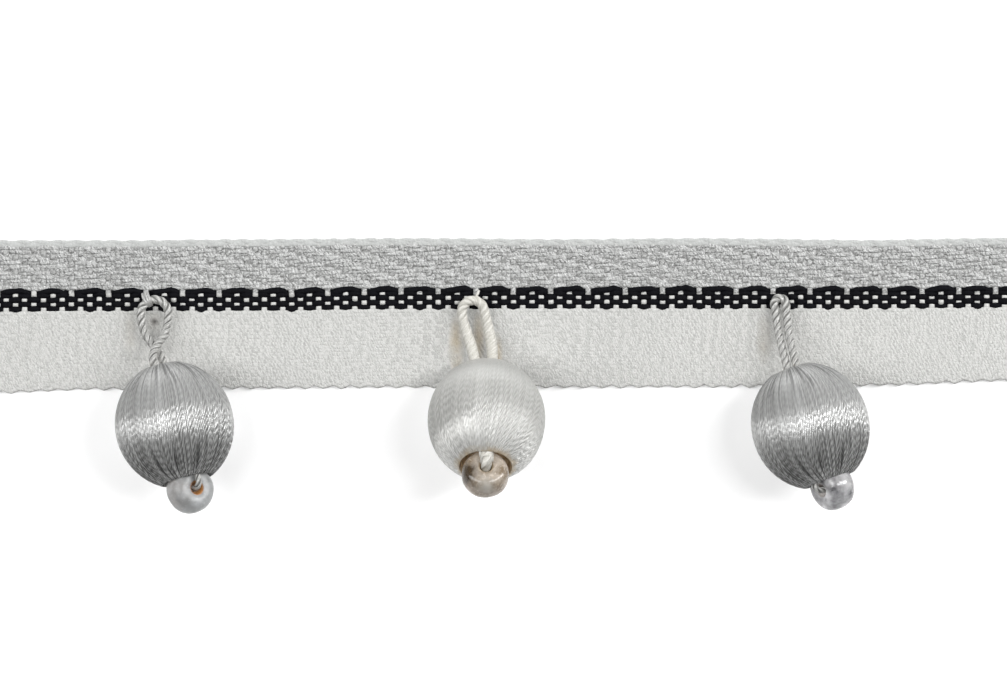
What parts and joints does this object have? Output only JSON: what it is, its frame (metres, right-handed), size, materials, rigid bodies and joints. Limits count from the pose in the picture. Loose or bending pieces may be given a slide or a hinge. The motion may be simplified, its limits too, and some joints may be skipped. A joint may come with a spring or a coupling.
{
  "type": "ball fringe trim",
  "caption": "Woven tape trim with thread-wound balls hanging from its lower edge on twisted cord loops, each held by a glass bead.",
  "frame": {"origin": "middle of the tape's flat back face, half way along its length and width", "axes": "+X along the tape, +Y towards the tape's upper edge with the balls below its lower edge, +Z out of the tape's front"},
  "size_m": [0.136, 0.0349, 0.0153],
  "materials": {
    "woven_tape": "ribbed weave in white, grey and black yarn, slight sheen",
    "white_cord": "twisted filament yarn, silky",
    "grey_cord": "twisted filament yarn, silky",
    "white_silk": "wound floss thread, satin",
    "grey_silk": "wound floss thread, satin",
    "bead_glass": "clear glass, slightly milky, polished"
  },
  "bodies": {
    "root": {"tape": "woven_tape", "cord_left": "grey_cord", "cord_middle": "white_cord", "cord_right": "grey_cord", "ball_left": "grey_silk", "ball_middle": "white_silk", "ball_right": "grey_silk", "bead_left": "bead_glass", "bead_middle": "bead_glass", "bead_right": "bead_glass"}
  },
  "joints": []
}
